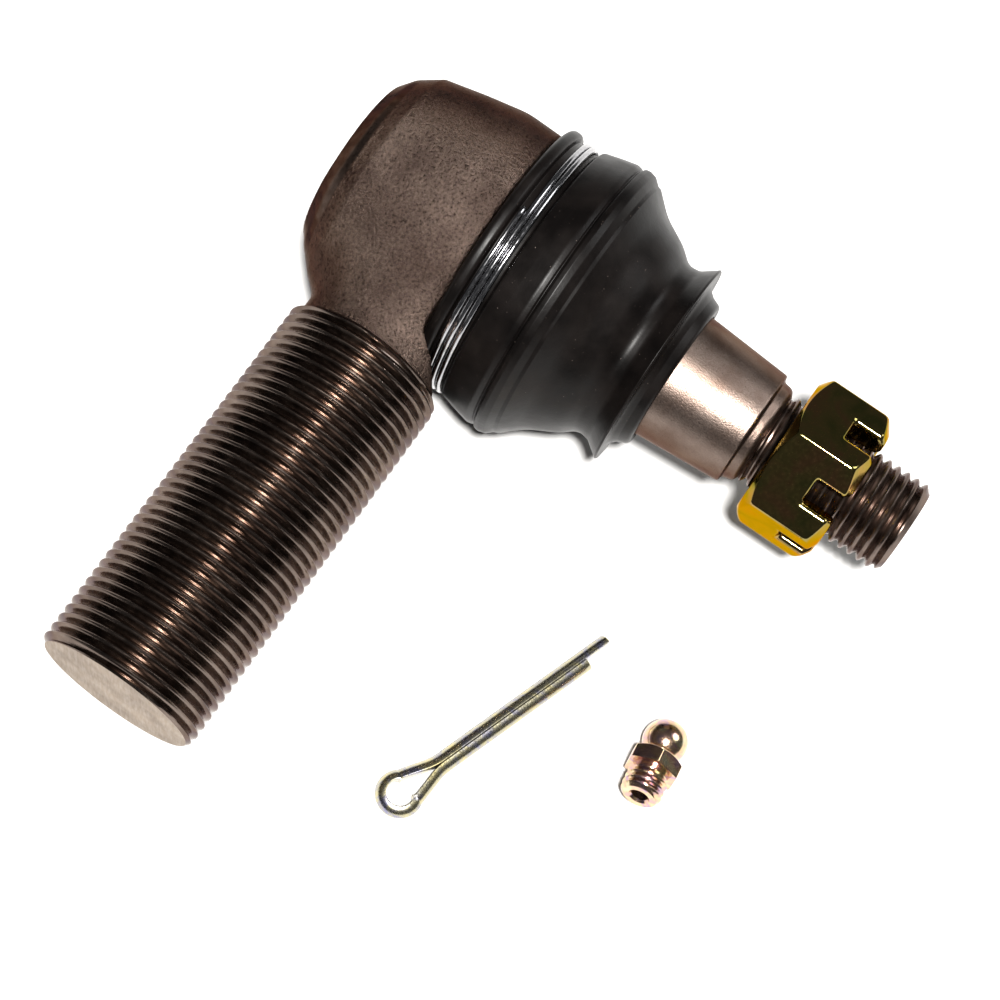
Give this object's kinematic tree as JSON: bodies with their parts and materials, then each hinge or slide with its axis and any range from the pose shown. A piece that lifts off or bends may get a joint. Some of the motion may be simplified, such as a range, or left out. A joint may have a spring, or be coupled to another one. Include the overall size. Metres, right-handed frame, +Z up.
{
  "type": "tie rod end",
  "caption": "Tie rod end: ball stud in a forged socket with threaded shank, dust boot and castle nut, with a loose cotter pin and grease fitting.",
  "frame": {"origin": "centre of the ball, where the shank's and the stud's axes meet", "axes": "+X along the shank out of its threaded end, +Y along the stud out of its threaded end, +Z up from the surface that the part lies on"},
  "size_m": [0.1021, 0.0919, 0.043],
  "materials": {
    "forging": "grainy dark brown forging, oiled, with turned threads",
    "cover_steel": "pressed steel, dark",
    "gasket": "matt",
    "spring_steel": "oiled spring steel",
    "bearing": "acetal, matt",
    "stud_steel": "satin ground steel with a brown oil film",
    "boot_rubber": "black rubber, slight sheen",
    "ring_wire": "bright wire",
    "support_plastic": "matt",
    "yellow_zinc": "glossy yellow zinc plating, olive to gold",
    "pin_zinc": "pale yellow zinc plating",
    "fitting_zinc": "iridescent yellow zinc plating"
  },
  "bodies": {
    "housing": {"socket_housing": "forging", "end_cover": "cover_steel", "cover_gasket": "gasket", "preload_spring": "spring_steel", "upper_bearing": "bearing"},
    "seat": {"lower_bearing": "bearing", "dust_boot": "boot_rubber", "boot_ring": "ring_wire"},
    "boot_neck": {"boot_support_ring": "support_plastic"},
    "stud": {"ball_stud": "stud_steel"},
    "nut": {"castle_nut": "yellow_zinc"},
    "cotter": {"cotter_pin": "pin_zinc"},
    "fitting": {"grease_fitting": "fitting_zinc", "fitting_spring": "spring_steel"},
    "check_ball": {"fitting_check_ball": "ring_wire"}
  },
  "joints": [
    {"name": "seat_turn", "type": "hinge", "parent": "housing", "child": "seat", "pos_m": [0, 0, 0], "axis": [0, 1, 0], "continuous": true},
    {"name": "stud_tilt", "type": "hinge", "parent": "seat", "child": "boot_neck", "pos_m": [0, 0, 0], "axis": [0, 0, 1], "range_deg": [-20, 20], "deforming": ["dust_boot"]},
    {"name": "stud_spin", "type": "hinge", "parent": "boot_neck", "child": "stud", "pos_m": [0, 0, 0], "axis": [0, 1, 0], "continuous": true},
    {"name": "nut_unscrew", "type": "slide", "parent": "stud", "child": "nut", "axis": [0, 1, 0], "range_m": [0, 0.0215]},
    {"name": "cotter_lift", "type": "slide", "parent": "housing", "child": "cotter", "axis": [0, 0, 1], "range_m": [0, 0.03]},
    {"name": "fitting_lift", "type": "slide", "parent": "housing", "child": "fitting", "axis": [0, 0, 1], "range_m": [0, 0.03]},
    {"name": "check_open", "type": "slide", "parent": "fitting", "child": "check_ball", "axis": [0.9611, 0.1163, 0.2504], "range_m": [0, 0.0006], "stiffness_N_per_m": 60, "springref_m": -0.001, "deforming": ["fitting_spring"]}
  ]
}
